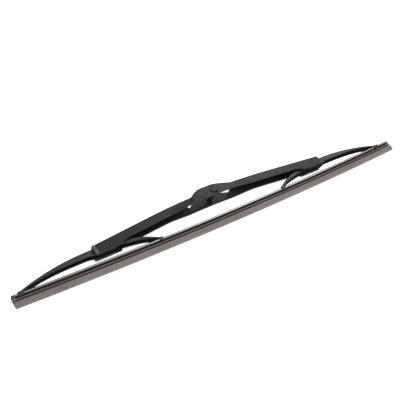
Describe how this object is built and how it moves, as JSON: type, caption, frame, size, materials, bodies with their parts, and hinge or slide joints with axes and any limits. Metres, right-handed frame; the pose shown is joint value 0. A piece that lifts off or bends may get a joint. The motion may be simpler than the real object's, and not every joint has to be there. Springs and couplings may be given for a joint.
{
  "type": "wiper blade",
  "caption": "Lever-type windscreen wiper blade: arched steel channel bracket, rocking yokes on rivets, clawed bowed rubber element with spring rails.",
  "frame": {"origin": "middle of the arm pin, between the bracket's cheeks", "axes": "+X along the blade, +Y from the wiping edge to the spine, +Z across the blade along the arm pin; the blade lies on its side"},
  "size_m": [0.4008, 0.0388, 0.0172],
  "materials": {
    "black_steel": "satin black paint on stamped sheet",
    "yoke_steel": "satin black paint on stamped sheet",
    "rivet_steel": "satin black paint over upset rivet heads",
    "liner_plastic": "moulded black plastic",
    "wiper_rubber": "matt extruded rubber with a dry bloom",
    "spring_steel": "rolled spring steel strip"
  },
  "bodies": {
    "bracket": {"main_bracket": "black_steel", "arm_pin": "rivet_steel", "yoke_rivet_left": "rivet_steel", "yoke_rivet_right": "rivet_steel", "liner_left": "liner_plastic", "liner_right": "liner_plastic", "wiper_rubber": "wiper_rubber", "rail_upper": "spring_steel", "rail_lower": "spring_steel"},
    "left_yoke": {"yoke_left": "yoke_steel"},
    "right_yoke": {"yoke_right": "yoke_steel"}
  },
  "joints": [
    {"name": "yoke_left_rock", "type": "hinge", "parent": "bracket", "child": "left_yoke", "pos_m": [-0.1147, -0.0112, 0], "axis": [0, 0, 1], "range_deg": [-5, 5], "stiffness_Nm_per_rad": 1.3, "deforming": ["wiper_rubber", "rail_upper", "rail_lower"]},
    {"name": "yoke_right_rock", "type": "hinge", "parent": "bracket", "child": "right_yoke", "pos_m": [0.1113, -0.0112, 0], "axis": [0, 0, 1], "range_deg": [-5, 5], "stiffness_Nm_per_rad": 1.3, "deforming": ["wiper_rubber", "rail_upper", "rail_lower"]}
  ]
}
